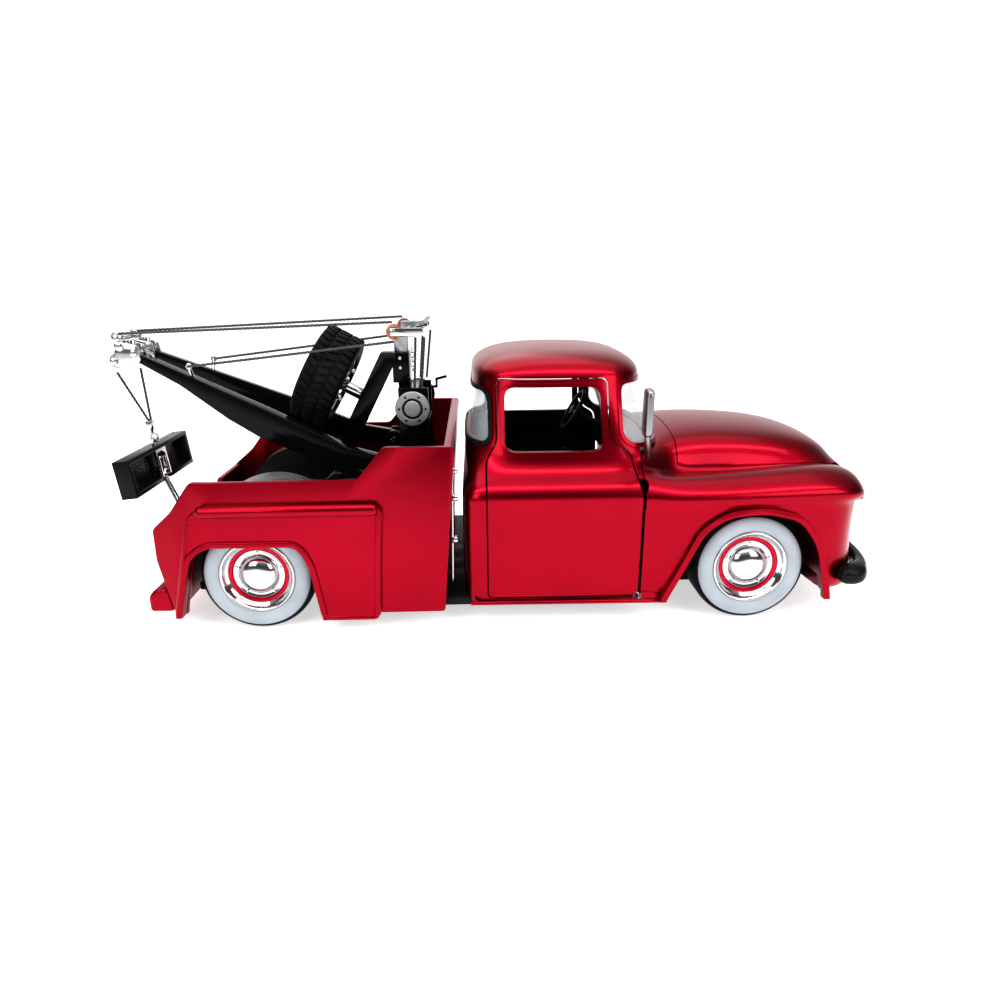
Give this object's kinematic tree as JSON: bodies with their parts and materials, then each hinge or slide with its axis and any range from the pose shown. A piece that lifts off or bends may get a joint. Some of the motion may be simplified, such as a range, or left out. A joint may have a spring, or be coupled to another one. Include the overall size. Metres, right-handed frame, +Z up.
{
  "type": "toy tow truck",
  "caption": "Die-cast style toy tow truck: custom stepside pickup with opening doors and hood, rolling wheels, and a black twin-boom crane with winches, ropes and a sling plate.",
  "frame": {"origin": "on the ground, in the middle of the box that holds the whole truck", "axes": "+X towards the front bumper, +Y towards the truck's left side, +Z up"},
  "size_m": [0.196, 0.082, 0.0723],
  "materials": {
    "body_red": "gloss metallic red",
    "wheel_red": "gloss red",
    "chrome": "polished",
    "crane_black": "gloss black",
    "winch_silver": "satin",
    "copper": "satin copper colour",
    "tyre": "moulded rubber",
    "whitewall": "satin white",
    "glazing": "clear",
    "lamp_glass": "ribbed clear",
    "tail_lens": "clear red",
    "trim_black": "satin black",
    "bumper_black": "satin black",
    "pan_black": "satin black",
    "steel": "zinc plated",
    "engine_grey": "satin",
    "rope": "fine braided cord"
  },
  "bodies": {
    "truck": {"bed_liner": "bumper_black", "bench_seat": "trim_black", "boom_foot_pins": "chrome", "cab_shell": "body_red", "cabin_floor": "trim_black", "chassis_pan": "pan_black", "chassis_screws": "steel", "crane_base": "crane_black", "dashboard": "trim_black", "door_hinge_pins": "steel", "engine_block": "engine_grey", "engine_dress": "chrome", "front_bumper": "bumper_black", "front_clip": "body_red", "front_lamp_lenses": "lamp_glass", "gear_lever": "trim_black", "grille": "chrome", "head_blocks": "chrome", "headlight_bezels": "chrome", "mast": "crane_black", "mast_head": "winch_silver", "radiator": "engine_grey", "rear_window": "glazing", "spare_fasteners": "chrome", "spare_tyre": "tyre", "spare_wheel": "chrome", "steering_wheel": "trim_black", "tail_lights": "tail_lens", "topping_ropes": "rope", "tow_bar_bracket": "chrome", "tow_bed": "body_red", "winch_frame": "winch_silver", "winch_ropes": "rope", "windscreen": "glazing", "wing_mirrors": "chrome"},
    "front_wheelset": {"front_tyres": "tyre", "front_wheels": "wheel_red", "front_whitewalls": "whitewall", "front_wheel_trims": "chrome", "front_axle": "steel"},
    "rear_wheelset": {"rear_tyres": "tyre", "rear_wheels": "wheel_red", "rear_whitewalls": "whitewall", "rear_wheel_trims": "chrome", "rear_axle": "steel"},
    "right_door": {"door_right": "body_red"},
    "left_door": {"door_left": "body_red"},
    "bonnet": {"hood": "body_red"},
    "booms": {"boom_left": "crane_black", "boom_right": "crane_black", "boom_tip_head": "chrome"},
    "tip_sheave_pair": {"tip_sheaves": "winch_silver"},
    "head_sheave_pair": {"head_sheaves": "copper"},
    "sling": {"hoist_ropes": "rope", "tow_hook": "chrome", "plate_bracket": "chrome", "tow_plate": "bumper_black"},
    "tow_rod": {"tow_bar": "chrome"},
    "right_winch": {"winch_drum_right": "winch_silver"},
    "left_winch": {"winch_drum_left": "crane_black"}
  },
  "joints": [
    {"name": "rear_axle_spin", "type": "hinge", "parent": "truck", "child": "rear_wheelset", "pos_m": [-0.057, 0, 0.014], "axis": [0, 1, 0], "continuous": true},
    {"name": "front_axle_spin", "type": "hinge", "parent": "truck", "child": "front_wheelset", "pos_m": [0.0637, 0, 0.014], "axis": [0, 1, 0], "continuous": true},
    {"name": "right_door_hinge", "type": "hinge", "parent": "truck", "child": "right_door", "pos_m": [0.0354, -0.0356, 0.02], "axis": [0, 0, 1], "range_deg": [0, 60]},
    {"name": "left_door_hinge", "type": "hinge", "parent": "truck", "child": "left_door", "pos_m": [0.0354, 0.0356, 0.02], "axis": [0, 0, -1], "range_deg": [0, 60]},
    {"name": "hood_lift", "type": "hinge", "parent": "truck", "child": "bonnet", "pos_m": [0.0475, 0, 0.0447], "axis": [0, -1, 0], "range_deg": [0, 45]},
    {"name": "boom_lower", "type": "hinge", "parent": "truck", "child": "booms", "pos_m": [-0.0275, 0, 0.037], "axis": [0, -1, 0], "range_deg": [0, 6], "deforming": ["topping_ropes"]},
    {"name": "sling_swing", "type": "hinge", "parent": "booms", "child": "sling", "pos_m": [-0.0955, 0, 0.0598], "axis": [0, -1, 0], "range_deg": [-18.1, 0]},
    {"name": "tow_bar_swing", "type": "hinge", "parent": "truck", "child": "tow_rod", "pos_m": [-0.0868, 0, 0.0196], "axis": [0, -1, 0], "range_deg": [0, 51.6]},
    {"name": "tip_sheave_spin", "type": "hinge", "parent": "booms", "child": "tip_sheave_pair", "pos_m": [-0.0958, 0, 0.0626], "axis": [0, 1, 0], "continuous": true},
    {"name": "head_sheave_spin", "type": "hinge", "parent": "truck", "child": "head_sheave_pair", "pos_m": [-0.023, 0, 0.0696], "axis": [0, 1, 0], "continuous": true},
    {"name": "right_winch_spin", "type": "hinge", "parent": "truck", "child": "right_winch", "pos_m": [-0.0194, -0.012, 0.0504], "axis": [0, 1, 0], "continuous": true},
    {"name": "left_winch_spin", "type": "hinge", "parent": "truck", "child": "left_winch", "pos_m": [-0.0194, 0.012, 0.0504], "axis": [0, 1, 0], "continuous": true}
  ],
  "couplings": [
    {"joint": "sling_swing", "follows": "boom_lower", "ratio": -3.004},
    {"joint": "tow_bar_swing", "follows": "boom_lower", "ratio": 8.586}
  ]
}
